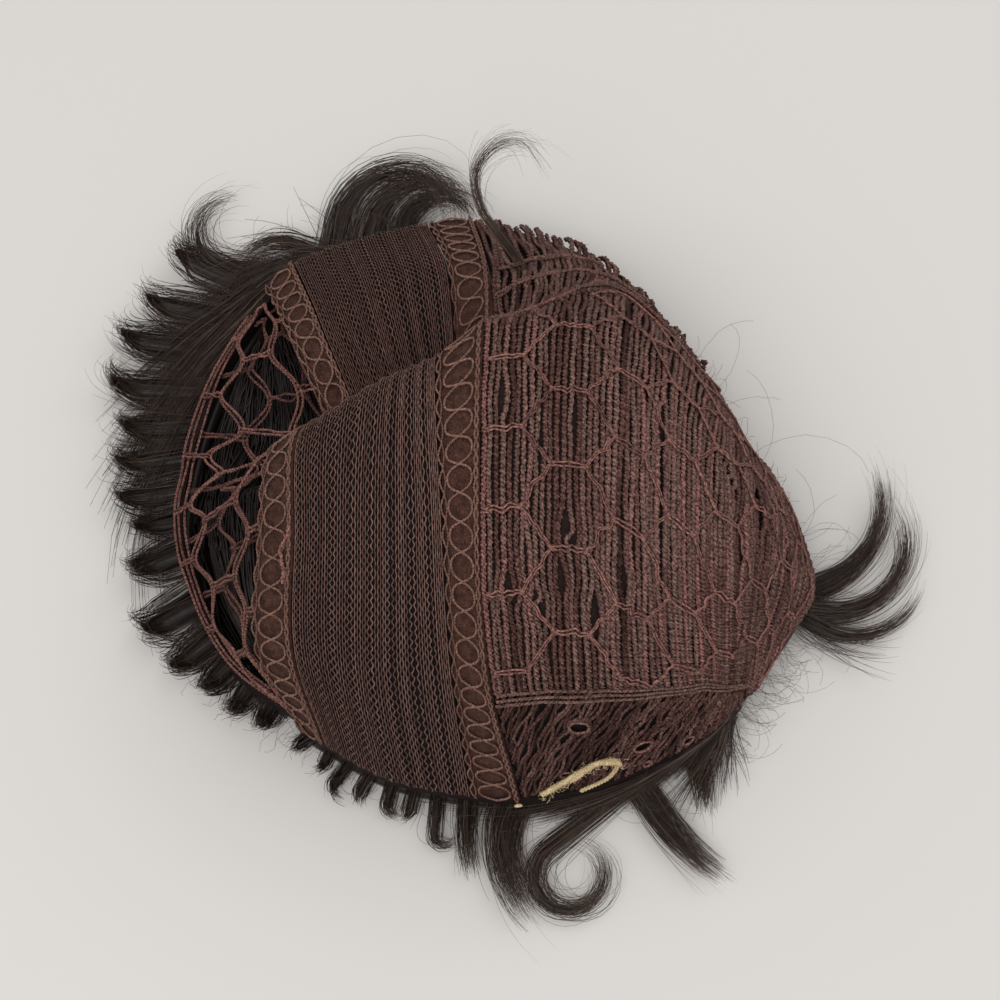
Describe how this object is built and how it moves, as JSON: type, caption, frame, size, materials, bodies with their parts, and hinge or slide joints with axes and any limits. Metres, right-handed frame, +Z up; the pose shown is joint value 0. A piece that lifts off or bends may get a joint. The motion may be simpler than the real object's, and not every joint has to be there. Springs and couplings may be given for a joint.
{
  "type": "short curly wig",
  "caption": "Short curly wig lying inside out: stretch cap of coarse net, lace bands, fine mesh and sewn wefts, with dark curls showing under its rim.",
  "frame": {"origin": "middle of the outline seen from above, on the surface the wig lies on", "axes": "+X towards the tapered end of the cap, +Y away from the near side, +Z up"},
  "size_m": [0.2416, 0.2358, 0.0972],
  "materials": {
    "net_thread": "matte crochet thread",
    "lace": "elastic lace tape",
    "fine_mesh": "fine stretch mesh",
    "weft": "rows of sewn weft",
    "tape": "smooth woven tape",
    "hair": "fine glossy fibre",
    "tie": "soft cream yarn"
  },
  "bodies": {
    "root": {"coarse_net": "net_thread", "lace_band_a": "lace", "mesh_panel": "fine_mesh", "lace_band_b": "lace", "weft_panel": "weft", "near_flap": "weft", "far_flap": "weft", "rim_tape": "tape", "hair_net_end": "hair", "hair_near_side": "hair", "hair_taper_end": "hair", "hair_forelock": "hair", "hair_inside": "hair", "tie_thread": "tie"}
  },
  "joints": []
}
